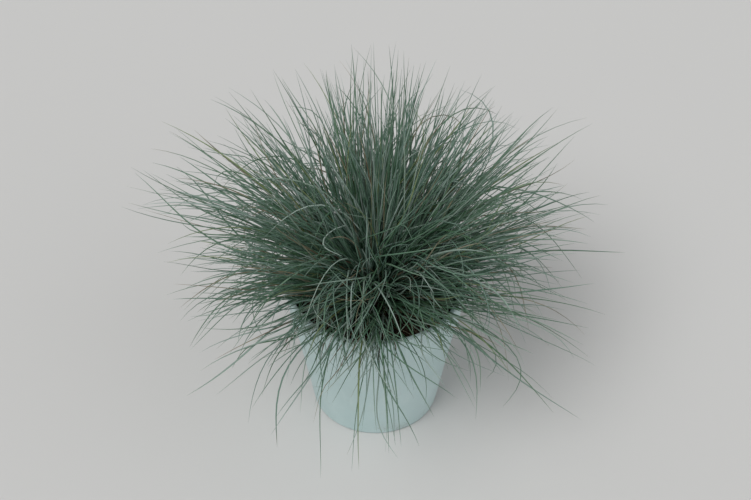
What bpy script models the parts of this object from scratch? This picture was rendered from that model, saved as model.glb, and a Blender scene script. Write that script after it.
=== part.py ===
"""A young blue fescue clump in its round nursery pot.

The pot is a thin turned shell with a rolled lip, a stacking collar, a foot ring and drainage holes.
The potting soil fills it to just under the lip, and the crown, a low dome of packed leaf bases, sits
on the soil.  Tufts of leaves spring from the crown and arch outwards, each one the closed outline of
a bunch of thread-like leaves, from the sheaths to the tips.

The frame is in metres with +Z up.  The origin is the centre of the pot's base, on the surface that
the pot stands on.
"""

import math
import random

import bmesh
import bpy
from mathutils import Matrix

# Pot
POT_RIM_RADIUS = 0.0525
POT_HEIGHT = 0.092
POT_BASE_RADIUS = 0.0372
POT_WALL = 0.0012
LIP_OVERHANG = 0.0018
LIP_DEPTH = 0.0034
COLLAR_DEPTH = 0.0200
COLLAR_STEP = 0.0010
FLOOR_RECESS = 0.0020
FOOT_RING_WIDTH = 0.0042
CENTRE_PAD_RADIUS = 0.0100
BASE_FILLET = 0.0030
DRAIN_COUNT = 8
DRAIN_RADIUS = 0.0035
DRAIN_CIRCLE_RADIUS = 0.0215

# Soil
SOIL_BELOW_RIM = 0.0085
SOIL_EDGE_DROP = 0.0012

# Crown, the cap of a sphere
CROWN_SPHERE_RADIUS = 0.0235
CROWN_EDGE_ANGLE = math.radians(68.0)

# Tufts
TUFT_COUNT = 44
TUFT_OUTER_ANGLE = math.radians(62.0)
TUFT_BEND = 0.80
TUFT_LENGTH_INNER = 0.134
TUFT_LENGTH_OUTER = 0.122
TUFT_LENGTH_SPREAD = 0.011
TUFT_RADIUS = 0.0082
TUFT_BASE_RADIUS = 0.0020
TUFT_TIP_RADIUS = 0.0008
TUFT_WIDEST_AT = 0.62
TUFT_SEGMENTS = 10
TUFT_BEVEL_RESOLUTION = 1
GOLDEN_ANGLE = math.pi * (3.0 - math.sqrt(5.0))
TUFT_SEED = 7

# Everything
GAP = 0.0003
TURN_STEPS = 48
MERGE_DISTANCE = 0.00001
SHARP_ANGLE = math.radians(40.0)

# Worked out from the above
SOIL_TOP = POT_HEIGHT - SOIL_BELOW_RIM
POT_FLOOR_TOP = FLOOR_RECESS + POT_WALL
COLLAR_RADIUS = POT_RIM_RADIUS - LIP_OVERHANG
COLLAR_BOTTOM = POT_HEIGHT - COLLAR_DEPTH
SHOULDER_RADIUS = COLLAR_RADIUS - COLLAR_STEP
CROWN_BOTTOM = SOIL_TOP + GAP
CROWN_CENTRE_Z = CROWN_BOTTOM - CROWN_SPHERE_RADIUS * math.cos(CROWN_EDGE_ANGLE)

# Linear colours
POT_COLOUR = (0.48, 0.60, 0.59)
SOIL_COLOUR = (0.030, 0.021, 0.014)
CROWN_COLOUR = (0.120, 0.105, 0.055)
LEAF_COLOUR_INNER = (0.060, 0.125, 0.070)
LEAF_COLOUR_OUTER = (0.165, 0.250, 0.215)


def clear_scene():
    """Remove whatever the file holds, so that the model is the only thing in it."""
    for leftover in list(bpy.data.objects):
        bpy.data.objects.remove(leftover, do_unlink=True)


def new_collection(name):
    """A collection of the scene, for the parts or for the cutters."""
    collection = bpy.data.collections.new(name)
    bpy.context.scene.collection.children.link(collection)
    return collection


def new_material(name, colour, roughness):
    """A plain Principled material with a linear colour."""
    material = bpy.data.materials.new(name)
    material.use_nodes = True
    shader = material.node_tree.nodes["Principled BSDF"]
    shader.inputs["Base Color"].default_value = (*colour, 1.0)
    shader.inputs["Roughness"].default_value = roughness
    shader.inputs["Metallic"].default_value = 0.0
    material.diffuse_color = (*colour, 1.0)
    return material


def blend(start, end, share):
    """The value or colour a share of the way from start to end."""
    if isinstance(start, tuple):
        return tuple(blend(a, b, share) for a, b in zip(start, end))
    return start + (end - start) * share


def arc(centre, radius, start_degrees, end_degrees, segments):
    """Points (r, z) along an arc, both ends included."""
    points = []
    for step in range(segments + 1):
        angle = math.radians(blend(start_degrees, end_degrees, step / segments))
        points.append((centre[0] + radius * math.cos(angle), centre[1] + radius * math.sin(angle)))
    return points


def turned(name, profile, collection, material):
    """Turn a profile of (r, z) points about the Z axis; its outer side runs downwards."""
    mesh = bpy.data.meshes.new(name)
    edges = [(step, step + 1) for step in range(len(profile) - 1)]
    mesh.from_pydata([(r, 0.0, z) for r, z in profile], edges, [])
    piece = bpy.data.objects.new(name, mesh)
    collection.objects.link(piece)
    mesh.materials.append(material)
    screw = piece.modifiers.new("turn", "SCREW")
    screw.axis = "Z"
    screw.angle = math.tau
    screw.steps = TURN_STEPS
    screw.render_steps = TURN_STEPS
    screw.use_merge_vertices = True
    screw.merge_threshold = MERGE_DISTANCE
    screw.use_smooth_shade = True
    return piece


def wall_radius(height):
    """Outside radius of the tapered wall below the collar."""
    share = (height - FLOOR_RECESS) / (COLLAR_BOTTOM - FLOOR_RECESS)
    return blend(POT_BASE_RADIUS, SHOULDER_RADIUS, share)


def pot_profile():
    """Inside floor, inside wall, lip, collar, outside wall, foot ring, recess and centre pad."""
    lip_radius = LIP_DEPTH / 2
    lip_inner = COLLAR_RADIUS - POT_WALL
    ring_inner = POT_BASE_RADIUS - FOOT_RING_WIDTH
    inside = [(0.0, POT_FLOOR_TOP)]
    inside += arc(
        (wall_radius(POT_FLOOR_TOP) - POT_WALL - BASE_FILLET, POT_FLOOR_TOP + BASE_FILLET),
        BASE_FILLET, -90, 0, 3,
    )
    inside.append((SHOULDER_RADIUS - POT_WALL, COLLAR_BOTTOM))
    inside.append((lip_inner, COLLAR_BOTTOM + COLLAR_STEP))
    lip = [(lip_inner, POT_HEIGHT - POT_WALL / 2)]
    lip += [(lip_inner + POT_WALL / 2, POT_HEIGHT)]
    lip += arc((POT_RIM_RADIUS - lip_radius, POT_HEIGHT - lip_radius), lip_radius, 80, -50, 5)
    outside = [
        (COLLAR_RADIUS, POT_HEIGHT - LIP_DEPTH),
        (COLLAR_RADIUS, COLLAR_BOTTOM + COLLAR_STEP),
        (SHOULDER_RADIUS, COLLAR_BOTTOM),
        (POT_BASE_RADIUS + 0.0004, BASE_FILLET),
        (POT_BASE_RADIUS - BASE_FILLET / 3, 0.0),
    ]
    underside = [
        (ring_inner, 0.0),
        (ring_inner - FLOOR_RECESS / 2, FLOOR_RECESS),
        (CENTRE_PAD_RADIUS + FLOOR_RECESS / 2, FLOOR_RECESS),
        (CENTRE_PAD_RADIUS, 0.0),
        (0.0, 0.0),
    ]
    return inside + lip + outside + underside


def make_pot(parts, cutters):
    """The pot shell, with its ring of drainage holes cut through the floor."""
    pot = turned("pot", pot_profile(), parts, new_material("pot_plastic", POT_COLOUR, 0.55))
    drains_mesh = bpy.data.meshes.new("drain_cutters")
    drains_bmesh = bmesh.new()
    for hole in range(DRAIN_COUNT):
        angle = math.tau * (hole + 0.5) / DRAIN_COUNT
        place = Matrix.Rotation(angle, 4, "Z") @ Matrix.Translation(
            (DRAIN_CIRCLE_RADIUS, 0.0, POT_FLOOR_TOP)
        )
        bmesh.ops.create_cone(
            drains_bmesh, cap_ends=True, segments=12, radius1=DRAIN_RADIUS, radius2=DRAIN_RADIUS,
            depth=4 * POT_FLOOR_TOP, matrix=place,
        )
    drains_bmesh.to_mesh(drains_mesh)
    drains_bmesh.free()
    drains = bpy.data.objects.new("drain_cutters", drains_mesh)
    drains.display_type = "WIRE"
    drains.hide_render = True
    cutters.objects.link(drains)
    cut = pot.modifiers.new("drainage", "BOOLEAN")
    cut.operation = "DIFFERENCE"
    cut.solver = "EXACT"
    cut.object = drains
    return pot


def soil_profile():
    """The plug of soil, a gap inside the pot, its top falling slightly towards the wall."""
    floor = POT_FLOOR_TOP + GAP
    lowest_radius = wall_radius(floor) - POT_WALL - BASE_FILLET
    side = POT_WALL + 2 * GAP
    return [
        (0.0, SOIL_TOP),
        (CROWN_SPHERE_RADIUS, SOIL_TOP),
        (blend(CROWN_SPHERE_RADIUS, COLLAR_RADIUS, 0.6), SOIL_TOP - 0.35 * SOIL_EDGE_DROP),
        (COLLAR_RADIUS - side - 0.0012, SOIL_TOP - 0.80 * SOIL_EDGE_DROP),
        (COLLAR_RADIUS - side, SOIL_TOP - 1.60 * SOIL_EDGE_DROP),
        (COLLAR_RADIUS - side, COLLAR_BOTTOM + COLLAR_STEP + GAP),
        (SHOULDER_RADIUS - side, COLLAR_BOTTOM),
        (wall_radius(floor + 2 * BASE_FILLET) - side, floor + 2 * BASE_FILLET),
        (lowest_radius, floor),
        (0.0, floor),
    ]


def crown_profile():
    """The cap of a sphere, flat underneath, resting a gap above the soil."""
    start, end = 90.0, 90.0 - math.degrees(CROWN_EDGE_ANGLE)
    cap = arc((0.0, CROWN_CENTRE_Z), CROWN_SPHERE_RADIUS, start, end, 8)
    cap[0] = (0.0, cap[0][1])
    return cap + [(0.0, CROWN_BOTTOM)]


def tuft_directions():
    """Each tuft's angle from upright and its bearing: a spiral of equal areas over the crown."""
    for index in range(TUFT_COUNT):
        share = (index + 0.5) / TUFT_COUNT
        from_upright = math.acos(1.0 - share * (1.0 - math.cos(TUFT_OUTER_ANGLE)))
        yield index, from_upright, index * GOLDEN_ANGLE


def tuft_path(from_upright, bearing, length):
    """Points that leave the crown square to it and lean further out at a steady rate."""
    base = CROWN_SPHERE_RADIUS + GAP
    radius = base * math.sin(from_upright)
    height = CROWN_CENTRE_Z + base * math.cos(from_upright)
    step_length = length / TUFT_SEGMENTS
    path = []
    for step in range(TUFT_SEGMENTS + 1):
        path.append((radius * math.cos(bearing), radius * math.sin(bearing), height))
        lean = from_upright * (1.0 + TUFT_BEND * (step + 0.5) / TUFT_SEGMENTS)
        radius += step_length * math.sin(lean)
        height += step_length * math.cos(lean)
    return path


def tuft_radius(share):
    """The bunch swells smoothly from its sheaths to its widest place and closes on its tips."""
    if share < TUFT_WIDEST_AT:
        rise = math.sin(0.5 * math.pi * share / TUFT_WIDEST_AT)
        return blend(TUFT_BASE_RADIUS, TUFT_RADIUS, rise ** 1.4)
    fall = math.cos(0.5 * math.pi * (share - TUFT_WIDEST_AT) / (1.0 - TUFT_WIDEST_AT))
    return blend(TUFT_TIP_RADIUS, TUFT_RADIUS, fall)


def make_tufts(parts):
    """One closed tube for each tuft, wide where its leaves spread."""
    chance = random.Random(TUFT_SEED)
    for index, from_upright, bearing in tuft_directions():
        outwardness = from_upright / TUFT_OUTER_ANGLE
        length = blend(TUFT_LENGTH_INNER, TUFT_LENGTH_OUTER, outwardness)
        length += chance.uniform(-TUFT_LENGTH_SPREAD, TUFT_LENGTH_SPREAD)
        name = f"tuft_{index + 1:02d}"
        curve = bpy.data.curves.new(name, "CURVE")
        curve.dimensions = "3D"
        curve.bevel_depth = 1.0
        curve.bevel_resolution = TUFT_BEVEL_RESOLUTION
        curve.use_fill_caps = True
        spline = curve.splines.new("POLY")
        spline.points.add(TUFT_SEGMENTS)
        spline.use_smooth = True
        for step, place in enumerate(tuft_path(from_upright, bearing, length)):
            spline.points[step].co = (*place, 1.0)
            spline.points[step].radius = tuft_radius(step / TUFT_SEGMENTS)
        colour = blend(LEAF_COLOUR_INNER, LEAF_COLOUR_OUTER, outwardness)
        curve.materials.append(new_material(f"{name}_leaf", colour, 0.6))
        parts.objects.link(bpy.data.objects.new(name, curve))


def main():
    clear_scene()
    parts = new_collection("potted_blue_fescue")
    cutters = new_collection("cutters")
    make_pot(parts, cutters)
    turned("soil", soil_profile(), parts, new_material("potting_soil", SOIL_COLOUR, 0.95))
    turned("crown", crown_profile(), parts, new_material("leaf_bases", CROWN_COLOUR, 0.85))
    make_tufts(parts)


main()
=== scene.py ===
"""The looks of a potted blue fescue clump: its leaves, sheaths, dead leaves, soil and pot.

Everything is in metres and radians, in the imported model's own frame, +Z up, the front towards -Y.
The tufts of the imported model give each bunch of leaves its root, direction, arch and length.

Of the values below, a pair is a range, unless its comment says otherwise.  A tilt, scatter, spread,
swing, waver, roll, heading or turn is the spread of a normal draw.
"""

import math

import bmesh
import bpy
import numpy as np
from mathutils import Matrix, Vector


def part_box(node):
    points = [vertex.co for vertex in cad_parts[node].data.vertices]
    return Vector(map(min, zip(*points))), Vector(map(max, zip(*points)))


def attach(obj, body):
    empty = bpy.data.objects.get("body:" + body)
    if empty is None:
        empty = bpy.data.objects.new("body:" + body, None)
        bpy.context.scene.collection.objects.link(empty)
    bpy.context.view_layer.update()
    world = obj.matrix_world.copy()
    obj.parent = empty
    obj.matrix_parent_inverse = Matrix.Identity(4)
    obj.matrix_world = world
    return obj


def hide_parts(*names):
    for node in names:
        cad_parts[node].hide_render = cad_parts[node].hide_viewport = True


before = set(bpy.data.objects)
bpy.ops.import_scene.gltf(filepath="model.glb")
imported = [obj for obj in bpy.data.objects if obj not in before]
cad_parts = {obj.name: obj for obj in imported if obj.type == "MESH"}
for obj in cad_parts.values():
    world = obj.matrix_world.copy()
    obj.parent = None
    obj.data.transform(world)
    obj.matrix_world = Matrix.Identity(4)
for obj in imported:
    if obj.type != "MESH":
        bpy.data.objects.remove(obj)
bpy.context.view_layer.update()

SEED = 2015
MM = 0.001
DEGREES = math.radians(1.0)

# Tufts
LEAVES_PER_TUFT = (62, 34)  # for an upright tuft, and for one at the widest lean
WIDEST_LEAN = 62.0 * DEGREES
TUFT_TILT = 5.0 * DEGREES
TUFT_LIMPNESS = (0.6, 1.4)
TUFT_VIGOUR = (0.84, 1.08)

# Leaves: their lengths and arches are shares of their tuft's own
LEAF_STATIONS = 16
LEAF_HALF_WIDTHS = (0.33 * MM, 0.60 * MM)
LEAF_DEPTH = 1.2 * MM
LEAF_SCATTER = 1.4 * MM
LEAF_SPREAD = 9.0 * DEGREES
LEAF_LENGTHS = (0.54, 1.08)
LEAF_ARCHES = (0.20, 1.10)
LEAF_DROOP = (3.0 * DEGREES, 11.0 * DEGREES)  # mean and spread, added to the arch
LEAF_EASINGS = (0.9, 2.0)
LEAF_SWING = 13.0 * DEGREES
LEAF_WAVER = (3.4 * DEGREES, 5.0 * DEGREES)  # of the lean, and of the bearing
LEAF_ROLL = (0.7, 1.0)  # at the root, and gained up to the tip

# A few leaves stray from their tuft.  They fan wider, and swing and waver more, by these factors.
STRAY_SHARE = 0.13
STRAY_FAN = 2.6
STRAY_LOOSENESS = 2.4
STRAY_LENGTHS = (0.95, 1.06)

# A leaf that would sag past the lowest lean has most of that taken out, but for a share that hangs
LOWEST_LEAN = 94.0 * DEGREES
HELD_UP = 0.8
HANGING_SHARE = 0.22

# Bends that a few leaves have.  Starts and runs are shares of the leaf's length.
KINKS = {"odds": 0.05, "angles": (25.0 * DEGREES, 80.0 * DEGREES), "starts": (0.40, 0.85), "run": 0.07}
CURLS = {"odds": 0.18, "angles": (40.0 * DEGREES, 125.0 * DEGREES), "starts": (0.15, 0.45), "run": 0.65}
CURL_PLANES = (-1.4, 1.4)

# Shades of the leaves, as places on the leaf material's ramp, whose last stop is yellow
LEAF_TINT = (0.38, 0.26)  # mean and spread
LEAF_TINT_TOP = 0.93
# Pale leaves, a little wider: partly a paler waxy bloom, partly painted highlight for leaves that catch
# the light
PALE_HIGHLIGHT_SHARE = 0.16
PALE_HIGHLIGHT_TINTS = (0.82, 0.94)
PALE_HIGHLIGHT_WIDTH = 1.2
YELLOW_SHARE = 0.03
YELLOW_TINT = 1.0

# Freshness greens a leaf, tuft by tuft, and dryness turns a whole leaf or its tip to straw
TUFT_FRESHNESS = (0.0, 0.7)
FRESHNESS_SPREAD = 0.22
DRY_SHARE = 0.05
DRYNESS = (0.75, 1.0)
BURNT_TIP_STARTS = (0.86, 1.6)
BURNT_TIP_RUN = 0.12
BURNT_TIP_DRYNESS = 0.8

# Sheaths round the leaf bases
SHEATHS_PER_TUFT = 9
SHEATH_STATIONS = 7
SHEATH_SIDES = 6
SHEATH_HALF_WIDTHS = (0.60 * MM, 0.95 * MM)
SHEATH_LENGTHS = (11.0 * MM, 27.0 * MM)
SHEATH_DEPTH = 2.0 * MM
SHEATH_SCATTER = 1.6 * MM
SHEATH_ARCH = 0.2
SHEATH_SPREAD = (0.10, 0.12)  # of the lean, and of the bearing

# Dead leaves: some still stand on the crown, some lie on the soil
DEAD_STATIONS = 12
STANDING_COUNT = 240
STANDING_HALF_WIDTHS = (0.26 * MM, 0.50 * MM)
STANDING_LENGTHS = (16.0 * MM, 62.0 * MM)
STANDING_LEANS = (20.0 * DEGREES, 86.0 * DEGREES)
STANDING_DROOPS = (10.0 * DEGREES, 95.0 * DEGREES)
STANDING_SWING = 45.0 * DEGREES
STANDING_WAVER = (9.0 * DEGREES, 12.0 * DEGREES)  # of the lean, and of the bearing
STANDING_ROLL = (1.0, 2.5)  # at the root, and gained up to the tip
STANDING_DEPTH = 1.0 * MM
LOWEST_ROOT = 1.1
LYING_COUNT = 260
LYING_HALF_WIDTHS = (0.25 * MM, 0.55 * MM)
LYING_LENGTHS = (7.0 * MM, 26.0 * MM)
LYING_HEADING = 1.1
LYING_TURN = 1.3
LYING_WAVER = 14.0 * DEGREES
LYING_HEIGHTS = (0.2 * MM, 0.9 * MM)
LYING_ARCHES = (0.0, 2.2 * MM)
LYING_EDGE_GAP = 1.2 * MM

# Pot, outside to inside
POT_COLUMNS = 160
POT_WALL = 1.2 * MM
POT_OVALNESS = 0.28 * MM
POT_OVAL_BEARING = 0.4
LIP_OVERHANG = 1.8 * MM
LIP_DEPTH = 3.4 * MM
COLLAR_DEPTH = 20.0 * MM
COLLAR_STEP = 1.0 * MM
FOOT_RADIUS = 37.2 * MM
FOOT_RING_WIDTH = 4.2 * MM
FLOOR_RECESS = 2.0 * MM
FLOOR_TOP = FLOOR_RECESS + POT_WALL
CENTRE_PAD_RADIUS = 10.0 * MM
CENTRE_HOLE = 0.05 * MM
DRAIN_COUNT = 8
DRAIN_RADIUS = 3.5 * MM
DRAIN_CIRCLE = 21.5 * MM
DRAIN_RING = (15.5 * MM, 27.5 * MM)
DRAIN_SIDE_STEPS = 6
WELD_REACH = 0.01 * MM

# Soil, and the crown's dome
SOIL_COLUMNS = 200
SOIL_RINGS = 78
LUMP_COUNT = 900
LUMP_REACHES = (0.7 * MM, 2.6 * MM)
LUMP_STEEPNESS = (0.25, 0.55)
CRUMB_COUNT = 1700
CRUMB_SIZES = (0.25 * MM, 1.10 * MM)
CRUMB_STRETCHES = ((0.9, 2.2), (0.6, 1.1), (0.3, 0.8))
CRUMB_DENTS = (0.72, 1.12)
CRUMB_EDGE_GAP = 2.2 * MM
BARK_TINT_TOP = 0.92
GRIT_SHARE = 0.05
GRIT_TINT = 1.0
CROWN_COLUMNS = 72
CROWN_ROWS = 22

# Camera, aimed at the clump
CAMERA_AIM = (0.0, 0.0, 0.116)
CAMERA_ELEVATION = 43.0 * DEGREES
CAMERA_DISTANCE = 1.15
CAMERA_LENS = 96.0

# Light and floor
FLOOR_SIDE = 24.0
FLOOR_COLOUR = (0.63, 0.632, 0.628, 1.0)
SKY_COLOUR = (1.0, 0.995, 0.99, 1.0)
SKY_STRENGTH = 0.36

# What the frame says
_, POT_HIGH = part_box("pot")
SOIL_LOW, SOIL_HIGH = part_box("soil")
CROWN_LOW, CROWN_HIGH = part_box("crown")
RIM_RADIUS = POT_HIGH[0]
RIM_TOP = POT_HIGH[2]
COLLAR_RADIUS = RIM_RADIUS - LIP_OVERHANG
SHOULDER_RADIUS = COLLAR_RADIUS - COLLAR_STEP
SOIL_RADIUS = SOIL_HIGH[0] - 0.05 * MM
SOIL_TOP = SOIL_HIGH[2]
CROWN_EDGE = CROWN_HIGH[0]
CROWN_RISE = CROWN_HIGH[2] - CROWN_LOW[2]
CROWN_RADIUS = (CROWN_EDGE ** 2 + CROWN_RISE ** 2) / (2.0 * CROWN_RISE)
CROWN_CENTRE = np.array([0.0, 0.0, CROWN_HIGH[2] - CROWN_RADIUS])


# ---------------------------------------------------------------- meshes

def new_piece(name, points, faces, material, smooth=True):
    """A mesh object at the origin from points and faces, which are arrays or lists of corners."""
    mesh = bpy.data.meshes.new(name)
    mesh.from_pydata(points.reshape(-1, 3), [], faces)
    mesh.polygons.foreach_set("use_smooth", np.full(len(mesh.polygons), smooth))
    mesh.materials.append(material)
    mesh.update()
    piece = bpy.data.objects.new(name, mesh)
    bpy.context.scene.collection.objects.link(piece)
    return piece


def paint(piece, **values):
    """One named number for each vertex, for the materials to read."""
    for name, numbers in values.items():
        attribute = piece.data.attributes.new(name, "FLOAT", "POINT")
        attribute.data.foreach_set("value", np.asarray(numbers, np.float32).ravel())


def put(piece, slot, *nodes):
    """The piece rides on the only body and stands for the CAD nodes given.  Its slot is not used."""
    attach(piece, "root")
    if nodes:
        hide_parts(*nodes)
    return piece


def tube_faces(count, stations, sides):
    """Quads of many tubes at once: side walls, then a cap at the root and one at the tip of each."""
    tube = np.arange(count)[:, None, None] * stations * sides
    station = np.arange(stations - 1)[None, :, None] * sides
    side = np.arange(sides)[None, None, :]
    after = (side + 1) % sides
    near = tube + station
    walls = np.stack([near + side, near + after, near + sides + after, near + sides + side], axis=-1)
    ends = np.arange(count)[:, None] * stations * sides
    ring = np.arange(sides)[None, :]
    roots = ends + ring[:, ::-1]
    tips = ends + (stations - 1) * sides + ring
    return [*walls.reshape(-1, 4).tolist(), *roots.tolist(), *tips.tolist()]


def strip_map(piece, count, stations, sides):
    """A map that lays each tube flat in a strip of its own, root at the left and tip at the right.

    The walls keep a margin free at both ends of the strip, where the two caps lie, and a gap to
    the next strip.
    """
    margin, gap = 0.01, 0.06
    cap_size, cap_place = (0.003, 0.3 / count), 0.004
    tube = np.arange(count)[:, None, None]
    station = np.arange(stations - 1)[None, :, None]
    side = np.arange(sides)[None, None, :]
    run, rise = (1.0 - 2.0 * margin) / (stations - 1), (1.0 - 2.0 * gap) / sides
    left = margin + run * station + 0 * (tube + side)
    low = (tube + gap + rise * side) / count + 0 * station
    right, high = left + run, low + rise / count
    walls = np.stack([left, low, left, high, right, high, right, low], axis=-1)
    cap = round_section(sides)[None] * np.array(cap_size)
    centre = (np.arange(count) + 0.5) / count
    roots = cap + np.stack([np.full(count, cap_place), centre], -1)[:, None]
    tips = cap + np.stack([np.full(count, 1.0 - cap_place), centre], -1)[:, None]
    corners = np.concatenate([walls.reshape(-1, 2), roots.reshape(-1, 2), tips.reshape(-1, 2)])
    layer = piece.data.uv_layers.new(name="OFBake")
    layer.uv.foreach_set("vector", corners.astype(np.float32).ravel())


def new_tubes(name, points, material, **values):
    """One mesh of many closed tubes from points by tube, station and side, painted with values."""
    count, stations, sides, _ = points.shape
    piece = new_piece(name, points, tube_faces(count, stations, sides), material)
    strip_map(piece, count, stations, sides)
    shape = points.shape[:3]
    paint(piece, **{key: np.broadcast_to(value[..., None], shape) for key, value in values.items()})
    return piece


def around(radius, bearing, height):
    """Points at a radius from the axis, on a compass bearing and at a height."""
    level = height + 0.0 * (radius + bearing)
    return np.stack([radius * np.cos(bearing), radius * np.sin(bearing), level], axis=-1)


def directions(lean, bearing):
    """Unit vectors that lean from upright by one angle towards a compass bearing."""
    flat = np.sin(lean)
    return np.stack([flat * np.cos(bearing), flat * np.sin(bearing), np.cos(lean)], axis=-1)


def axes(lean, bearing):
    """A direction and two more square to it: one level, and one in the upright plane it leans in."""
    along = directions(lean, bearing)
    level = np.stack([-np.sin(bearing), np.cos(bearing), np.zeros_like(bearing)], axis=-1)
    return along, level, np.cross(along, level)


def sideways(offset, level, steep):
    """Offsets in two columns, laid along a level and a steep direction."""
    return offset[:, :1] * level + offset[:, 1:] * steep


def walk(start, lean, bearing, length):
    """Paths from their starts: equal steps along the directions midway between stations, added up."""
    step = (length / (lean.shape[1] - 1))[:, None, None]
    middle = directions((lean[:, 1:] + lean[:, :-1]) / 2, (bearing[:, 1:] + bearing[:, :-1]) / 2)
    start = start[:, None, :]
    return np.concatenate([start, start + np.cumsum(middle * step, axis=1)], axis=1)


def sweep(path, lean, bearing, roll, section, half_width):
    """A section carried along each path, scaled by its half width and turned by its roll.

    The section's first axis starts level and its second axis starts on the side that faces the
    clump's middle, both square to the path.
    """
    _, level, inner = axes(lean, bearing)
    turn, lift = np.cos(roll)[..., None], np.sin(roll)[..., None]
    across = (level * turn + inner * lift)[:, :, None, :]
    upper = (inner * turn - level * lift)[:, :, None, :]
    scaled = half_width[..., None, None] * section
    return path[:, :, None, :] + scaled[..., :1] * across + scaled[..., 1:] * upper


def round_section(sides):
    """A circle of unit radius."""
    angle = np.arange(sides) * math.tau / sides
    return np.stack([np.cos(angle), np.sin(angle)], axis=-1)


# A folded leaf: its keel and its two margins
FOLDED_LEAF = np.array([(0.0, -0.80), (1.0, 0.42), (-1.0, 0.42)])


def smooth_step(low, high, value):
    """Rises from 0 at low to 1 at high along 3t^2 - 2t^3."""
    share = np.clip((value - low) / (high - low), 0.0, 1.0)
    return share * share * (3.0 - 2.0 * share)


# Large odd numbers that scramble a lattice corner's place and a seed
LATTICE_STEPS = np.array([73856093, 19349663, 83492791])
SEED_STEP = 2654435761
SCRAMBLE = 1274126177


def lattice_noise(points, cell, seed):
    """Random numbers on a cubic lattice, from -1 to 1, blended smoothly between its corners."""
    scaled = points / cell
    base = np.floor(scaled).astype(np.int64)
    part = scaled - base
    part = part * part * (3.0 - 2.0 * part)
    total = np.zeros(points.shape[:-1])
    for corner in np.ndindex(2, 2, 2):
        offset = np.array(corner)
        key = ((base + offset) * LATTICE_STEPS).sum(axis=-1) + seed * SEED_STEP
        key = (key ^ (key >> 13)) * SCRAMBLE & 0xFFFFFFFF
        key = (key ^ (key >> 16)) & 0xFFFF
        weight = np.where(offset, part, 1.0 - part).prod(axis=-1)
        total += weight * (2.0 * key / 0xFFFF - 1.0)
    return total


def turned_faces(rows, columns):
    """Quads between the rows of a turned surface."""
    row = np.arange(rows - 1)[:, None] * columns
    column = np.arange(columns)[None, :]
    after = (column + 1) % columns
    below = row + columns
    walls = np.stack([row + column, below + column, below + after, row + after], axis=-1)
    return walls.reshape(-1, 4)


def pole_faces(rows, columns):
    """Fans to a pole before the first row and to one after the last, which follow the rows' points."""
    column = np.arange(columns)
    after = (column + 1) % columns
    ends = (rows - 1) * columns
    top = np.stack([np.full(columns, rows * columns), column, after], axis=-1)
    bottom = np.stack([np.full(columns, rows * columns + 1), ends + after, ends + column], axis=-1)
    return [*top.tolist(), *bottom.tolist()]


def turned_points(radius, height, bearing):
    """Points of a turned surface, row by row down its outer side, and its two poles at the end."""
    spots = around(radius, bearing, height)
    poles = np.array([(0.0, 0.0, height[0].mean()), (0.0, 0.0, height[-1].mean())])
    return np.concatenate([spots.reshape(-1, 3), poles])


# ---------------------------------------------------------------- materials

class Value:
    """A socket of a material's tree.  Arithmetic on it adds Math nodes."""

    def __init__(self, recipe, socket):
        self.recipe = recipe
        self.socket = socket

    def __add__(self, other):
        return self.recipe.math("ADD", self, other)

    def __mul__(self, other):
        return self.recipe.math("MULTIPLY", self, other)

    def __rsub__(self, other):
        return self.recipe.math("SUBTRACT", other, self)

    __radd__ = __add__
    __rmul__ = __mul__

    def between(self, low, high):
        """0 at low, 1 at high, and smooth between them."""
        inputs = {"Value": self, "From Min": low, "From Max": high}
        return self.recipe.node("ShaderNodeMapRange", {"interpolation_type": "SMOOTHSTEP"}, inputs)


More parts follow.
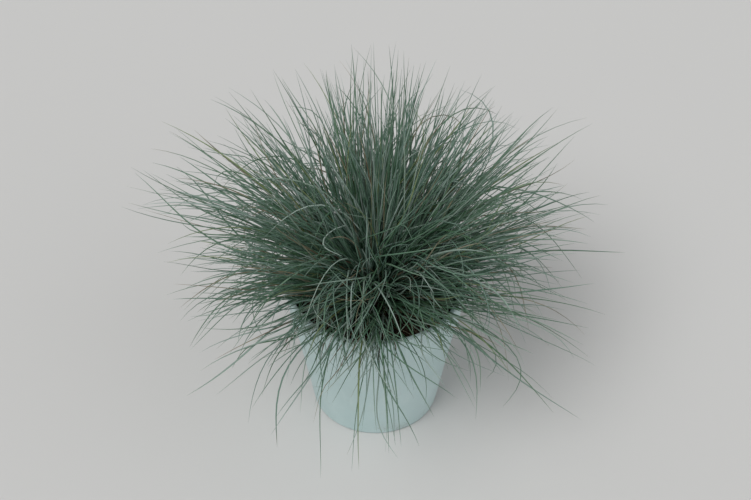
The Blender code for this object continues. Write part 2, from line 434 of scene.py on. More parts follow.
class Recipe:
    """One material: a Principled shader with constant sockets, and nodes for what varies."""

    def __init__(self, name, **constants):
        self.material = bpy.data.materials.new(name)
        self.material.use_nodes = True
        self.tree = self.material.node_tree
        self.shader = self.tree.nodes["Principled BSDF"]
        for socket, value in constants.items():
            self.shader.inputs[socket.replace("_", " ")].default_value = value

    def node(self, kind, settings, inputs, output=None):
        """Add a node: its settings first, then the values or links of its sockets."""
        made = self.tree.nodes.new(kind)
        for name, value in settings.items():
            if name == "stops":
                self.set_stops(made.color_ramp.elements, value)
            else:
                setattr(made, name, value)
        pairs = inputs.items() if isinstance(inputs, dict) else enumerate(inputs)
        for name, value in pairs:
            if isinstance(value, Value):
                self.tree.links.new(value.socket, made.inputs[name])
            elif isinstance(value, tuple) and made.inputs[name].type == "RGBA":
                made.inputs[name].default_value = (*value, 1.0)
            else:
                made.inputs[name].default_value = value
        shown = [socket for socket in made.outputs if socket.enabled]
        return Value(self, made.outputs[output] if output is not None else shown[0])

    def set_stops(self, elements, stops):
        """A ramp's stops, each a position and a colour."""
        while len(elements) < len(stops):
            elements.new(0.5)
        for element, (position, colour) in zip(elements, stops):
            element.position = position
            element.color = (*colour, 1.0)

    def math(self, operation, *terms):
        return self.node("ShaderNodeMath", {"operation": operation}, terms)

    def attribute(self, name):
        return self.node("ShaderNodeAttribute", {"attribute_name": name}, {}, "Fac")

    def place(self):
        return self.node("ShaderNodeTexCoord", {}, {}, "Object")

    def stretched(self, place, scale):
        """A place times a scale for each axis, which stretches the pattern made on it."""
        return self.node("ShaderNodeVectorMath", {"operation": "MULTIPLY"}, [place, scale])

    def height(self, place):
        return self.node("ShaderNodeSeparateXYZ", {}, [place], "Z")

    def noise(self, scale, detail=2.0, roughness=0.5, place=None):
        inputs = {"Vector": place or self.place(), "Scale": scale,
                  "Detail": detail, "Roughness": roughness}
        return self.node("ShaderNodeTexNoise", {}, inputs, 0)

    def ramp(self, value, stops):
        return self.node("ShaderNodeValToRGB", {"stops": stops}, [value], "Color")

    def mix(self, share, start, end):
        """A colour a share of the way from start to end.

        The node's sockets for numbers, vectors and colours share their names, so they go by place.
        """
        return self.node("ShaderNodeMix", {"data_type": "RGBA"}, {0: share, 6: start, 7: end}, 2)

    def feed(self, socket, value):
        self.tree.links.new(value.socket, self.shader.inputs[socket])

    def bump(self, height, distance, strength):
        inputs = {"Height": height, "Distance": distance, "Strength": strength}
        self.feed("Normal", self.node("ShaderNodeBump", {}, inputs, "Normal"))


# The darkest colour: the darkest peat of the crumbs, and the painted shade in the soil's hollows
PEAT_AND_HOLLOW_SHADE = (0.014, 0.010, 0.008)


def leaf_material():
    """Blue-grey waxy leaves: deep green with painted shade low down, paler to the tips, a few yellow or
    dry.
    """
    leaf = Recipe("fescue_leaf", Roughness=0.50, Specular_IOR_Level=0.40)
    along, tint = leaf.attribute("along"), leaf.attribute("tint")
    fresh, dry = leaf.attribute("fresh"), leaf.attribute("dry")
    living = leaf.ramp(tint, [
        (0.00, (0.048, 0.130, 0.070)),
        (0.26, (0.084, 0.180, 0.122)),
        (0.52, (0.130, 0.230, 0.184)),
        (0.76, (0.196, 0.300, 0.262)),
        # The pale stop: a paler bloom with painted highlight
        (0.93, (0.430, 0.530, 0.490)),
        (1.00, (0.240, 0.295, 0.115)),
    ])
    living = leaf.mix(fresh * 0.60, living, (0.098, 0.200, 0.088))
    # Painted shade: low on the leaf the colour turns a deeper, darker green, partly the leaf's own and
    # partly shade within the clump
    shaded = leaf.mix((1.0 - along.between(0.04, 0.46)) * 0.58, living, (0.044, 0.128, 0.052))
    paler = leaf.mix(along.between(0.50, 1.0) * 0.22, shaded, (0.260, 0.340, 0.305))
    mottled = leaf.mix(leaf.noise(260.0, 3.0).between(0.46, 0.72) * 0.20, paler, (0.330, 0.400, 0.365))
    straw = leaf.mix(leaf.noise(60.0).between(0.3, 0.7), (0.150, 0.112, 0.068), (0.330, 0.285, 0.190))
    leaf.feed("Base Color", leaf.mix(dry, mottled, straw))
    return leaf.material


def sheath_material():
    """Leaf bases: straw and pale green above, brown at the soil."""
    sheath = Recipe("leaf_bases", Roughness=0.7, Specular_IOR_Level=0.25)
    along, tint = sheath.attribute("along"), sheath.attribute("tint")
    old = sheath.mix(tint, (0.080, 0.046, 0.034), (0.235, 0.175, 0.105))
    green = sheath.mix(tint, (0.048, 0.088, 0.040), (0.118, 0.158, 0.098))
    sheath.feed("Base Color", sheath.mix(along.between(0.15, 0.75), old, green))
    return sheath.material


def dead_material():
    """Dead leaves: red-brown to grey straw, each its own shade."""
    dead = Recipe("dead_leaf", Roughness=0.85, Specular_IOR_Level=0.15)
    shade = dead.ramp(dead.attribute("tint"), [
        (0.00, (0.042, 0.026, 0.018)),
        (0.35, (0.105, 0.064, 0.042)),
        (0.70, (0.210, 0.158, 0.100)),
        (1.00, (0.330, 0.290, 0.215)),
    ])
    mottle = dead.noise(700.0).between(0.35, 0.75)
    dead.feed("Base Color", dead.mix(mottle * 0.45, shade, (0.040, 0.028, 0.020)))
    return dead.material


def soil_material():
    """Moist peat: brown on the crumbs, and near black in the hollows by painted shade."""
    soil = Recipe("potting_soil", Roughness=0.93, Specular_IOR_Level=0.2)
    place = soil.place()
    coarse, fine = soil.noise(260.0, 4.0, 0.6, place), soil.noise(1500.0, 3.0, 0.6, place)
    # Painted shade: the soil darkens into its hollows, by the height painted as tint
    shade = soil.mix(soil.attribute("tint"), PEAT_AND_HOLLOW_SHADE, (0.070, 0.046, 0.031))
    shade = soil.mix(coarse.between(0.45, 0.75) * 0.5, shade, (0.090, 0.058, 0.036))
    soil.feed("Base Color", soil.mix(fine.between(0.60, 0.78) * 0.45, shade, (0.150, 0.104, 0.068)))
    soil.bump(fine, 0.4 * MM, 0.8)
    return soil.material


def crumb_material():
    """Bits of bark, peat and a little grit, each its own shade."""
    crumb = Recipe("soil_crumbs", Roughness=0.9, Specular_IOR_Level=0.2)
    shade = crumb.ramp(crumb.attribute("tint"), [
        (0.00, PEAT_AND_HOLLOW_SHADE),
        (0.45, (0.060, 0.038, 0.024)),
        (0.85, (0.135, 0.085, 0.052)),
        (0.97, (0.290, 0.240, 0.190)),
    ])
    grain = crumb.noise(2200.0, 3.0, 0.6)
    crumb.feed("Base Color", crumb.mix(grain.between(0.4, 0.7) * 0.5, shade, (0.022, 0.015, 0.011)))
    return crumb.material


def pot_material():
    """Pale blue-grey moulded plastic: faint clouding, rub marks down the wall, and specks of soil."""
    pot = Recipe("pot_plastic", Specular_IOR_Level=0.45)
    place = pot.place()
    cloud = pot.noise(28.0, 3.0, 0.5, place)
    rubbed = pot.noise(160.0, 3.0, 0.6, pot.stretched(place, (1.0, 1.0, 0.10)))
    speck = pot.noise(900.0, 3.0, 0.6, place)
    smudge = pot.noise(75.0, 4.0, 0.6, place)
    height = pot.height(place)
    near_rim = height.between(RIM_TOP - 7.0 * MM, RIM_TOP)
    near_foot = 1.0 - height.between(0.0, 10.0 * MM)
    soiled = near_rim * 0.8 + near_foot
    shade = pot.mix(cloud.between(0.3, 0.7), (0.490, 0.638, 0.640), (0.548, 0.690, 0.694))
    shade = pot.mix(rubbed.between(0.52, 0.80) * 0.30, shade, (0.665, 0.765, 0.768))
    shade = pot.mix(smudge.between(0.50, 0.72) * (0.06 + 0.22 * soiled), shade, (0.300, 0.275, 0.225))
    dirt = speck.between(0.56, 0.70) * smudge.between(0.40, 0.62) * (0.08 + 0.72 * soiled)
    shade = pot.mix(dirt, shade, (0.170, 0.135, 0.100))
    pot.feed("Base Color", shade)
    pot.feed("Roughness", 0.34 + cloud * 0.16 + rubbed * 0.10)
    pot.bump(pot.noise(420.0, 2.0, 0.5, place), 0.06 * MM, 0.5)
    return pot.material


# ---------------------------------------------------------------- leaves

def tuft_shape(node):
    """A tuft's root, angles and length, read from its closed outline in the frame.

    The leaning angle grows evenly along the tuft, so the chord leans by the mean of the angles at
    its ends, and the arc is longer than the chord by half the turn over its sine.
    """
    end_band, least_turn = 0.4 * MM, 0.02
    points = np.array([vertex.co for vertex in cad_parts[node].data.vertices])
    reach = np.linalg.norm(points - CROWN_CENTRE, axis=1)
    root = points[reach < reach.min() + end_band].mean(axis=0)
    tip = points[reach > reach.max() - end_band].mean(axis=0)
    start = root - CROWN_CENTRE
    chord = tip - root
    lean = math.acos(start[2] / np.linalg.norm(start))
    chord_lean = math.acos(chord[2] / np.linalg.norm(chord))
    turn = max(2.0 * (chord_lean - lean), least_turn)
    length = np.linalg.norm(chord) * (turn / 2) / math.sin(turn / 2)
    return {"root": root, "lean": lean, "turn": turn, "length": length,
            "bearing": math.atan2(chord[1], chord[0])}


def wavering(chance, count, share, spread):
    """A swing to and fro: two sine waves of random size and phase, less their value at the root."""
    total = 0.0
    for waves in (0.6, 1.4):
        size = chance.normal(0.0, spread, (count, 1)) / waves
        phase = math.tau * chance.random((count, 1))
        total = total + size * (np.sin(math.tau * waves * share + phase) - np.sin(phase))
    return total


def clear_of_pot(path):
    """Lifts paths over the rim, and keeps what hangs outside it off the wall.

    Inside the rim the lowest height climbs from the soil to just over the rim.  The most that a path
    has had to climb so far stays with it to its tip, so that it bends over the rim like a leaf.
    """
    near, wall_gap = 1.0 * MM, 2.0 * MM
    over_soil, over_rim = SOIL_TOP + 0.8 * MM, RIM_TOP + 1.2 * MM
    reach = np.hypot(path[..., 0], path[..., 1])
    inside = np.maximum.accumulate(reach, axis=1) < RIM_RADIUS + near
    climb_start, climb_end = RIM_RADIUS - 9.0 * MM, RIM_RADIUS - 2.5 * MM
    lowest = over_soil + smooth_step(climb_start, climb_end, reach) * (over_rim - over_soil)
    lift = np.maximum.accumulate(np.clip(lowest - path[..., 2], 0.0, None) * inside, axis=1)
    height = np.maximum(path[..., 2] + lift, near)
    upwards = np.clip(height / RIM_TOP, 0.0, 1.0)
    wall = FOOT_RADIUS + (RIM_RADIUS - FOOT_RADIUS) * upwards + wall_gap
    beside = ~inside & (height < RIM_TOP + near)
    widen = np.where(beside, np.maximum(wall / np.maximum(reach, near), 1.0), 1.0)
    return np.stack([path[..., 0] * widen, path[..., 1] * widen, height], axis=-1)


def rolling(chance, count, share, spreads):
    """A roll with a random part at the root and another gained evenly up to the tip."""
    at_root, gained = [chance.normal(0.0, spread, (count, 1)) for spread in spreads]
    return at_root + gained * share


def late_bend(chance, count, share, odds, angles, starts, run):
    """A bend of a few leaves: a random angle, reached smoothly over a run from a random place."""
    angle = (chance.random((count, 1)) < odds) * chance.uniform(*angles, (count, 1))
    return angle * smooth_step(0.0, run, share - chance.uniform(*starts, (count, 1)))


def leaf_paths(chance, tuft, count):
    """The leaves of one tuft, each walked along its lean and its bearing at every station.

    A leaf starts in the tuft's direction plus a random fan.  Its lean grows by its arch times a
    power of the share of its length, its bearing swings likewise, and both waver.  A kink adds to
    the lean, and a curl turns the end of the leaf in a plane of its own.
    """
    share = np.linspace(0.0, 1.0, LEAF_STATIONS)[None, :]
    tilt = tuft["lean"] + chance.normal(0.0, TUFT_TILT)
    limpness = chance.uniform(*TUFT_LIMPNESS)
    vigour = chance.uniform(*TUFT_VIGOUR)
    axis, level, steep = axes(np.array(tilt), np.array(tuft["bearing"]))
    stray = chance.random(count) < STRAY_SHARE
    loose = np.where(stray, STRAY_LOOSENESS, 1.0)[:, None]
    fan = chance.normal(0.0, LEAF_SPREAD, (count, 2)) * np.where(stray, STRAY_FAN, 1.0)[:, None]
    start = axis + sideways(fan, level, steep)
    start /= np.linalg.norm(start, axis=1)[:, None]
    lean = np.arccos(np.clip(start[:, 2], -1.0, 1.0))[:, None]
    bearing = np.arctan2(start[:, 1], start[:, 0])[:, None]

    arch = tuft["turn"] * chance.uniform(*LEAF_ARCHES, (count, 1))
    arch = limpness * (arch + chance.normal(*LEAF_DROOP, (count, 1)))
    sagging = np.clip(lean + arch - LOWEST_LEAN, 0.0, None)
    arch = arch - HELD_UP * sagging * (chance.random((count, 1)) > HANGING_SHARE)
    easing = chance.uniform(*LEAF_EASINGS, (count, 1))
    kink = late_bend(chance, count, share, **KINKS)
    curl = late_bend(chance, count, share, **CURLS)
    plane = chance.uniform(*CURL_PLANES, (count, 1))
    swing = loose * chance.normal(0.0, LEAF_SWING, (count, 1)) * share ** 1.4
    lean = lean + arch * share ** easing + kink + curl * np.cos(plane)
    lean = lean + loose * wavering(chance, count, share, LEAF_WAVER[0])
    bearing = bearing + swing + curl * np.sin(plane)
    bearing = bearing + loose * wavering(chance, count, share, LEAF_WAVER[1])

    low, high = LEAF_LENGTHS
    length = vigour * tuft["length"] * (high - (high - low) * chance.random(count) ** 1.15)
    length *= np.where(stray, chance.uniform(*STRAY_LENGTHS, count), 1.0)
    scatter = chance.normal(0.0, LEAF_SCATTER, (count, 2))
    root = tuft["root"] - LEAF_DEPTH * axis + sideways(scatter, level, steep)
    return clear_of_pot(walk(root, lean, bearing, length)), lean, bearing, share


def leaf_half_width(share, widest):
    """The widest, less a quarter of it along the leaf, and drawn to a needle tip by a sixth power."""
    needle = 0.02 * MM
    return widest[:, None] * (1.0 - 0.25 * share) * (1.0 - share ** 6) + needle


def make_leaves(number, tuft, material, chance):
    """One tuft's leaves as one mesh, in place of its outline."""
    upright, leaning = LEAVES_PER_TUFT
    count = round(upright + (leaning - upright) * min(tuft["lean"] / WIDEST_LEAN, 1.0))
    path, lean, bearing, share = leaf_paths(chance, tuft, count)
    roll = rolling(chance, count, share, LEAF_ROLL)
    half_width = leaf_half_width(share, chance.uniform(*LEAF_HALF_WIDTHS, count))
    withered = chance.random((count, 1)) < DRY_SHARE
    burnt_tip = smooth_step(0.0, BURNT_TIP_RUN, share - chance.uniform(*BURNT_TIP_STARTS, (count, 1)))
    tint = np.clip(chance.normal(*LEAF_TINT, (count, 1)), 0.0, LEAF_TINT_TOP)
    # Pale leaves carry painted highlight as well as a paler bloom
    pale = chance.random((count, 1)) < PALE_HIGHLIGHT_SHARE
    tint = np.where(pale, chance.uniform(*PALE_HIGHLIGHT_TINTS, (count, 1)), tint)
    half_width = half_width * np.where(pale, PALE_HIGHLIGHT_WIDTH, 1.0)
    tuft_fresh = chance.uniform(*TUFT_FRESHNESS)
    fresh = np.clip(chance.normal(tuft_fresh, FRESHNESS_SPREAD, (count, 1)), 0.0, 1.0)
    tint = np.where(chance.random((count, 1)) < YELLOW_SHARE, YELLOW_TINT, tint)
    dry = np.maximum(withered * chance.uniform(*DRYNESS, (count, 1)), burnt_tip * BURNT_TIP_DRYNESS)
    points = sweep(path, lean, bearing, roll, FOLDED_LEAF, half_width)
    name = f"leaves_{number:02d}"
    piece = new_tubes(name, points, material, along=share, tint=tint, fresh=fresh, dry=dry)
    return put(piece, "fescue_leaf", f"tuft_{number:02d}")


def make_sheaths(tufts, material, chance):
    """Short tubes round the leaf bases of every tuft, packed over the crown.

    Each leans out by a part of its tuft's turn.  It tapers evenly, and at its tip by an eighth power.
    """
    count = len(tufts) * SHEATHS_PER_TUFT
    share = np.linspace(0.0, 1.0, SHEATH_STATIONS)[None, :]
    lean, bearing, turn, root = (
        np.repeat([tuft[key] for tuft in tufts], SHEATHS_PER_TUFT, axis=0)
        for key in ("lean", "bearing", "turn", "root")
    )
    axis, level, steep = axes(lean, bearing)
    scatter = chance.normal(0.0, SHEATH_SCATTER, (count, 2))
    root = root - SHEATH_DEPTH * axis + sideways(scatter, level, steep)
    lean_spread, bearing_spread = SHEATH_SPREAD
    lean = lean[:, None] + SHEATH_ARCH * turn[:, None] * share
    lean = lean + chance.normal(0.0, lean_spread, (count, 1))
    bearing = bearing[:, None] + chance.normal(0.0, bearing_spread, (count, 1)) + 0.0 * share
    path = clear_of_pot(walk(root, lean, bearing, chance.uniform(*SHEATH_LENGTHS, count)))
    taper = (1.0 - 0.42 * share) * (1.0 - 0.5 * share ** 8)
    half_width = chance.uniform(*SHEATH_HALF_WIDTHS, (count, 1)) * taper
    points = sweep(path, lean, bearing, np.zeros((count, 1)), round_section(SHEATH_SIDES), half_width)
    piece = new_tubes("sheaths", points, material, along=share, tint=chance.random((count, 1)))
    return put(piece, "leaf_bases")


def make_standing_dead(material, chance):
    """Dead leaves still on the crown: short, wilted outwards and twisted.

    They are made like the living ones, with a droop that grows with a power of the share of length.
    """
    count = STANDING_COUNT
    share = np.linspace(0.0, 1.0, DEAD_STATIONS)[None, :]
    lean = chance.uniform(*STANDING_LEANS, (count, 1))
    bearing = chance.uniform(-math.pi, math.pi, (count, 1))
    outward = directions(np.minimum(lean, LOWEST_ROOT)[:, 0], bearing[:, 0])
    root = CROWN_CENTRE + (CROWN_RADIUS - STANDING_DEPTH) * outward
    droop = chance.uniform(*STANDING_DROOPS, (count, 1))
    swing = chance.normal(0.0, STANDING_SWING, (count, 1))
    lean = lean + droop * share ** 1.3 + wavering(chance, count, share, STANDING_WAVER[0])
    bearing = bearing + swing * share ** 1.2 + wavering(chance, count, share, STANDING_WAVER[1])
    path = clear_of_pot(walk(root, lean, bearing, chance.uniform(*STANDING_LENGTHS, count)))
    roll = rolling(chance, count, share, STANDING_ROLL)
    half_width = leaf_half_width(share, chance.uniform(*STANDING_HALF_WIDTHS, count))
    points = sweep(path, lean, bearing, roll, FOLDED_LEAF, half_width)
    tint = chance.random((count, 1)) ** 1.2
    return put(new_tubes("standing_dead_leaves", points, material, tint=tint), "leaf_bases")


def make_lying_dead(material, lumps, chance):
    """Dead leaves on the soil: level paths that curl round the crown, each draped over the lumps.

    A path's height is the soil's there, plus a random gap and half a sine wave for its arch.
    """
    count = LYING_COUNT
    share = np.linspace(0.0, 1.0, DEAD_STATIONS)[None, :]
    bearing = chance.uniform(-math.pi, math.pi, count)
    reach = chance.uniform(0.72 * CROWN_EDGE, 0.78 * SOIL_RADIUS, count)
    start = around(reach, bearing, SOIL_TOP)
    turn = chance.normal(0.0, LYING_TURN, (count, 1))
    heading = bearing[:, None] + chance.normal(0.0, LYING_HEADING, (count, 1)) + turn * share
    heading = heading + wavering(chance, count, share, LYING_WAVER)
    level = np.full_like(heading, math.pi / 2)
    path = walk(start, level, heading, chance.uniform(*LYING_LENGTHS, count))
    spread = np.hypot(path[..., 0], path[..., 1])
    limit, near = SOIL_RADIUS - LYING_EDGE_GAP, 1.0 * MM
    path[..., :2] *= np.minimum(limit / np.maximum(spread, near), 1.0)[..., None]
    arch = chance.uniform(*LYING_ARCHES, (count, 1)) * np.sin(math.pi * share)
    path[..., 2] = soil_height(path, lumps) + chance.uniform(*LYING_HEIGHTS, (count, 1)) + arch
    half_width = leaf_half_width(share, chance.uniform(*LYING_HALF_WIDTHS, count))
    roll = chance.normal(0.0, 1.0, (count, 1))
    points = sweep(path, level, heading, roll, FOLDED_LEAF, half_width)
    tint = chance.random((count, 1))
    return put(new_tubes("lying_dead_leaves", points, material, tint=tint), "leaf_bases")


def make_crown_core(material):
    """The crown's dome under the sheaths: a sphere's cap, swollen along its radius by noise."""
    swell, swell_cell = 0.6 * MM, 2.2 * MM
    mean_tint, tint_swing, tint_cell = 0.35, 0.3, 3.0 * MM
    top, edge = 0.03, math.acos((CROWN_LOW[2] - CROWN_CENTRE[2]) / CROWN_RADIUS)
    angle = np.linspace(top, edge, CROWN_ROWS)[:, None] + np.zeros(CROWN_COLUMNS)
    bearing = np.arange(CROWN_COLUMNS)[None, :] * math.tau / CROWN_COLUMNS + 0.0 * angle
    spots = CROWN_CENTRE + CROWN_RADIUS * directions(angle, bearing)
    radius = CROWN_RADIUS + swell * lattice_noise(spots, swell_cell, seed=5)
    height = CROWN_CENTRE[2] + radius * np.cos(angle)
    points = turned_points(radius * np.sin(angle), height, bearing)
    faces = [*turned_faces(CROWN_ROWS, CROWN_COLUMNS), *pole_faces(CROWN_ROWS, CROWN_COLUMNS)]
    piece = new_piece("crown_core", points, faces, material)
    paint(piece, tint=mean_tint + tint_swing * lattice_noise(points, tint_cell, seed=9))
    return put(piece, "leaf_bases", "crown")


# ---------------------------------------------------------------- soil

def strewn(chance, count, radius):
    """Random places, evenly thick over a disc, because their reach goes by the root of a share."""
    spread = radius * np.sqrt(chance.random(count))
    return around(spread, chance.uniform(0.0, math.tau, count), 0.0)


def soil_lumps(chance):
    """The centres, reaches and heights of the round lumps of the soil's top."""
    reach = chance.uniform(*LUMP_REACHES, LUMP_COUNT)
    centre = strewn(chance, LUMP_COUNT, SOIL_RADIUS)[:, :2]
    height = reach * chance.uniform(*LUMP_STEEPNESS, LUMP_COUNT)
    return {"centre": centre, "reach": reach, "height": height}


def soil_height(places, lumps):
    """Height of the soil's top: the tallest half-ellipse lump there, noise, and a lower edge."""
    sunk, edge_drop = 1.2 * MM, 1.3 * MM
    flat = places * np.array([1.0, 1.0, 0.0])
    spread = np.hypot(flat[..., 0], flat[..., 1])
    gap = np.linalg.norm(flat[..., None, :2] - lumps["centre"], axis=-1) / lumps["reach"]
    lump = (lumps["height"] * np.sqrt(np.clip(1.0 - gap * gap, 0.0, 1.0))).max(axis=-1)
    broad = 0.7 * MM * lattice_noise(flat, 7.0 * MM, seed=1)
    fine = 0.25 * MM * lattice_noise(flat, 1.3 * MM, seed=2)
    edge = edge_drop * smooth_step(0.90, 1.0, spread / SOIL_RADIUS)
    return SOIL_TOP - sunk + lump + broad + fine - edge


def make_soil(material, lumps):
    """The plug of soil: rings at the height of its top, then a plain outline turned inside the pot."""
    bearing = np.arange(SOIL_COLUMNS)[None, :] * math.tau / SOIL_COLUMNS
    first_ring = 0.004
    top_radius = SOIL_RADIUS * np.linspace(first_ring, 1.0, SOIL_RINGS)[:, None] + 0.0 * bearing
    places = around(top_radius, bearing, 0.0)
    floor, floor_radius = SOIL_LOW[2], 0.70 * SOIL_RADIUS
    side = np.array([
        (SOIL_RADIUS, SOIL_TOP - 12.0 * MM),
        (floor_radius, floor + 4.0 * MM),
        (floor_radius, floor),
        (floor_radius / 2, floor),
        (0.02 * SOIL_RADIUS, floor),
    ])
    radius = np.concatenate([top_radius, side[:, :1] + 0.0 * bearing])
    height = np.concatenate([soil_height(places, lumps), side[:, 1:] + 0.0 * bearing])
    points = turned_points(radius, height, bearing + 0.0 * radius)
    rows = len(radius)
    faces = [*turned_faces(rows, SOIL_COLUMNS), *pole_faces(rows, SOIL_COLUMNS)]
    piece = new_piece("soil_plug", points, faces, material)
    # Painted shade: tint climbs with height, dark in the hollows and brown on the lumps' tops
    hollow, relief = SOIL_TOP - 1.8 * MM, 2.6 * MM
    paint(piece, tint=np.clip((points[:, 2] - hollow) / relief, 0.0, 1.0))
    return put(piece, "potting_soil", "soil")


def random_turns(chance, count):
    """Random frames: a random axis, a second square to it by a cross product, and a third to both."""
    first = chance.normal(size=(count, 3))
    first /= np.linalg.norm(first, axis=1)[:, None]
    second = np.cross(first, chance.normal(size=(count, 3)))
    second /= np.linalg.norm(second, axis=1)[:, None]
    return np.stack([first, second, np.cross(first, second)], axis=1)


def make_crumbs(material, lumps, chance):
    """Peat crumbs, bark flakes and grit: icosahedra, dented, stretched, turned and strewn about.

    Their size goes by a power of a random share, so that most are small.
    """
    ball = bmesh.new()
    bmesh.ops.create_icosphere(ball, subdivisions=1, radius=1.0)
    corners = np.array([vertex.co for vertex in ball.verts])
    triangles = np.array([[vertex.index for vertex in face.verts] for face in ball.faces])
    ball.free()
    count = CRUMB_COUNT
    smallest, largest = CRUMB_SIZES
    size = smallest + (largest - smallest) * chance.random(count) ** 2.5
    stretch = np.stack([chance.uniform(*limits, count) for limits in CRUMB_STRETCHES], axis=-1)
    dented = corners * chance.uniform(*CRUMB_DENTS, (count, len(corners), 1))
    centre = strewn(chance, count, SOIL_RADIUS - CRUMB_EDGE_GAP)
    centre[:, 2] = soil_height(centre, lumps) + 0.25 * size
    shaped = dented * (size[:, None] * stretch)[:, None, :]
    points = centre[:, None, :] + np.einsum("nij,njk->nik", shaped, random_turns(chance, count))
    faces = triangles[None] + (np.arange(count) * len(corners))[:, None, None]
    piece = new_piece("soil_crumbs", points, faces.reshape(-1, 3), material, smooth=False)
    grit = chance.random(count) < GRIT_SHARE
    tint = np.where(grit, GRIT_TINT, BARK_TINT_TOP * chance.random(count))
    paint(piece, tint=np.repeat(tint, len(corners)))
    return put(piece, "potting_soil")


# ---------------------------------------------------------------- pot

def softened(outline, steps=6):
    """Rounds an open outline of (radius, height, reach) rows.

    Each corner becomes a parabola that leaves its two sides at the corner's reach, with one more
    point a little further along each side, so that the straight stretches stay flat in the light.
    """
    outline = np.array(outline)
    spots, reach = outline[:, :2], outline[1:-1, 2:]
    corner = spots[1:-1]
    back = spots[:-2] - corner
    onward = spots[2:] - corner
    back *= reach / np.linalg.norm(back, axis=1)[:, None]
    onward *= reach / np.linalg.norm(onward, axis=1)[:, None]
    corner, back, onward = corner[:, None], back[:, None], onward[:, None]
    further = 1.3
    share = np.linspace(0.0, 1.0, steps)[None, :, None]
    curve = corner + (1.0 - share) ** 2 * back + share ** 2 * onward
    guarded = np.concatenate([corner + further * back, curve, corner + further * onward], axis=1)
    return np.concatenate([spots[:1], guarded.reshape(-1, 2), spots[-1:]])


def pot_outline():
    """From the floor inside, up the wall, over the rolled lip, down outside and in under the foot."""
    collar_bottom = RIM_TOP - COLLAR_DEPTH
    slope = (SHOULDER_RADIUS - FOOT_RADIUS) / collar_bottom
    floor_edge = FOOT_RADIUS + slope * FLOOR_TOP - POT_WALL
    ring_inner = FOOT_RADIUS - FOOT_RING_WIDTH
    return softened([
        (DRAIN_RING[1], FLOOR_TOP, 0.0),
        (floor_edge, FLOOR_TOP, 2.5 * MM),
        (SHOULDER_RADIUS - POT_WALL, collar_bottom, 0.5 * MM),
        (COLLAR_RADIUS - POT_WALL, collar_bottom + COLLAR_STEP, 0.5 * MM),
        (COLLAR_RADIUS - POT_WALL, RIM_TOP, 0.8 * MM),
        (RIM_RADIUS, RIM_TOP, 1.4 * MM),
        (RIM_RADIUS, RIM_TOP - LIP_DEPTH, 0.7 * MM),
        (COLLAR_RADIUS, RIM_TOP - LIP_DEPTH, 0.4 * MM),
        (COLLAR_RADIUS - 0.3 * MM, collar_bottom + 0.3 * MM, 0.40 * MM),
        (SHOULDER_RADIUS - 0.3 * MM, collar_bottom, 0.34 * MM),
        (FOOT_RADIUS, 0.0, 1.4 * MM),
        (ring_inner, 0.0, 0.5 * MM),
        (ring_inner - 0.5 * FLOOR_RECESS, FLOOR_RECESS, 0.6 * MM),
        (DRAIN_RING[1], FLOOR_RECESS, 0.0),
    ])


def turn_outline(outline):
    """Points and quads of an outline turned about the axis, a little oval towards the rim.

    The radius gains a cosine of twice the bearing, by the square of the share of the height.
    """
    bearing = np.arange(POT_COLUMNS)[None, :] * math.tau / POT_COLUMNS
    radius, height = outline[:, :1], outline[:, 1:]
    oval = POT_OVALNESS * (height / RIM_TOP) ** 2 * np.cos(2.0 * (bearing - POT_OVAL_BEARING))
    points = around(radius + oval, bearing, height)
    return points.reshape(-1, 3), turned_faces(len(outline), POT_COLUMNS)


def drain_ring():
    """The ring of the floor with the drainage holes, in equal sectors with a hole in each.

    A sector's outline is two arcs and two straight sides.  Each row of points is a share of the way
    from that outline to the hole's edge, above, then down the hole's wall, and back out below.
    """
    half = math.pi / DRAIN_COUNT
    inner, outer = DRAIN_RING
    arc_steps, side_steps = POT_COLUMNS // DRAIN_COUNT, DRAIN_SIDE_STEPS
    arc = np.linspace(-half, half, arc_steps + 1)
    side = np.linspace(outer, inner, side_steps + 1)
    angle = np.concatenate([
        arc[:-1], np.full(side_steps, half), arc[:0:-1], np.full(side_steps, -half)])
    radius = np.concatenate([
        np.full(arc_steps, outer), side[:-1], np.full(arc_steps, inner), side[:0:-1]])
    outline = np.stack([radius * np.cos(angle), radius * np.sin(angle)], axis=-1)
    inward = outline - np.array([DRAIN_CIRCLE, 0.0])
    edge = inward * DRAIN_RADIUS / np.linalg.norm(inward, axis=1)[:, None]
    share = np.array([0.0, 0.5, 1.0, 1.0, 0.5, 0.0])[:, None, None]
    flat = outline + share * (edge - inward)
    level = np.array([FLOOR_TOP] * 3 + [FLOOR_RECESS] * 3)[:, None] + 0.0 * flat[..., 0]
    sector = 2.0 * half * (np.arange(DRAIN_COUNT) + 0.5)[:, None, None]
    points = np.stack([
        flat[..., 0] * np.cos(sector) - flat[..., 1] * np.sin(sector),
        flat[..., 0] * np.sin(sector) + flat[..., 1] * np.cos(sector),
        level + 0.0 * sector,
    ], axis=-1)
    rows, columns = flat.shape[:2]
    offset = np.arange(DRAIN_COUNT)[:, None, None] * rows * columns
    return points.reshape(-1, 3), (turned_faces(rows, columns)[None] + offset).reshape(-1, 4)


def centre_outlines():
    """The floor's middle, above and below: both stop at a small circle that make_pot closes."""
    inner = DRAIN_RING[0]
    above = np.array([(inner, FLOOR_TOP), (CENTRE_HOLE, FLOOR_TOP)])
    below = softened([
        (CENTRE_HOLE, 0.0, 0.0),
        (CENTRE_PAD_RADIUS, 0.0, 0.4 * MM),
        (CENTRE_PAD_RADIUS + 0.5 * FLOOR_RECESS, FLOOR_RECESS, 0.4 * MM),
        (inner, FLOOR_RECESS, 0.0),
    ])
    return above, below


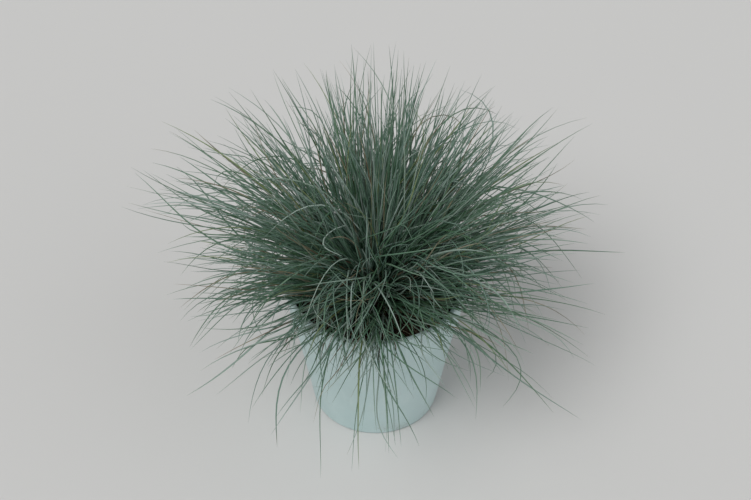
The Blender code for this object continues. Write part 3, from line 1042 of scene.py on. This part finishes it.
def make_pot(material):
    """The pot: a turned shell, the ring of drainage holes and the floor's middle, welded together."""
    parts = [turn_outline(outline) for outline in (pot_outline(), *centre_outlines())]
    parts.append(drain_ring())
    points = np.concatenate([spots for spots, _ in parts])
    starts = np.cumsum([0] + [len(spots) for spots, _ in parts[:-1]])
    faces = np.concatenate([quads + start for start, (_, quads) in zip(starts, parts)])
    piece = new_piece("pot_shell", points, faces, material)
    weld = bmesh.new()
    weld.from_mesh(piece.data)
    bmesh.ops.remove_doubles(weld, verts=weld.verts, dist=WELD_REACH)
    bmesh.ops.holes_fill(weld, edges=weld.edges, sides=POT_COLUMNS)
    bmesh.ops.recalc_face_normals(weld, faces=weld.faces)
    weld.to_mesh(piece.data)
    weld.free()
    return put(piece, "pot_plastic", "pot")


def make_object():
    """Every piece, drawn from one chain of random numbers."""
    chance = np.random.default_rng(SEED)
    names = sorted(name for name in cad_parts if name.startswith("tuft_"))
    tufts = [tuft_shape(name) for name in names]
    leaf = leaf_material()
    for number, tuft in enumerate(tufts, start=1):
        make_leaves(number, tuft, leaf, chance)
    make_sheaths(tufts, sheath_material(), chance)
    dead = dead_material()
    make_crown_core(dead)
    lumps = soil_lumps(chance)
    make_soil(soil_material(), lumps)
    make_crumbs(crumb_material(), lumps, chance)
    make_standing_dead(dead, chance)
    make_lying_dead(dead, lumps, chance)
    make_pot(pot_material())


# ---------------------------------------------------------------- studio

def make_floor():
    """A plain pale sheet that fills the view."""
    floor = Recipe("floor", Roughness=0.75, Specular_IOR_Level=0.2)
    floor.shader.inputs["Base Color"].default_value = FLOOR_COLOUR
    corners = FLOOR_SIDE / 2 * np.array([(-1, -1, 0), (1, -1, 0), (1, 1, 0), (-1, 1, 0)])
    sheet = new_piece("floor", corners, [(0, 1, 2, 3)], floor.material, smooth=False)


def add_sun(name, towards, spread, strength, colour):
    """A far soft light, as wide in the sky as its spread."""
    lamp = bpy.data.lights.new(name, "SUN")
    lamp.angle = spread
    lamp.energy = strength
    lamp.color = colour
    light = bpy.data.objects.new(name, lamp)
    light.rotation_euler = Vector(towards).to_track_quat("-Z", "Y").to_euler()
    bpy.context.scene.collection.objects.link(light)


def make_studio():
    """A pale floor, two soft suns and an even sky."""
    make_floor()
    add_sun("key", (0.45, 0.55, -1.0), 34.0 * DEGREES, 1.80, (1.0, 0.99, 0.975))
    add_sun("fill", (-0.9, 0.5, -0.7), 60.0 * DEGREES, 0.45, (0.95, 0.98, 1.0))
    world = bpy.data.worlds.new("studio")
    world.use_nodes = True
    sky = world.node_tree.nodes["Background"].inputs
    sky["Color"].default_value = SKY_COLOUR
    sky["Strength"].default_value = SKY_STRENGTH
    bpy.context.scene.world = world
    bpy.context.scene.view_settings.view_transform = "Standard"


def make_camera():
    """Looks down on the clump from the front."""
    aim = Vector(CAMERA_AIM)
    back = Vector((0.0, -math.cos(CAMERA_ELEVATION), math.sin(CAMERA_ELEVATION)))
    data = bpy.data.cameras.new("camera")
    data.lens = CAMERA_LENS
    camera = bpy.data.objects.new("camera", data)
    camera.location = aim + back * CAMERA_DISTANCE
    camera.rotation_euler = (-back).to_track_quat("-Z", "Y").to_euler()
    bpy.context.scene.collection.objects.link(camera)
    bpy.context.scene.camera = camera


make_camera()
make_object()
make_studio()
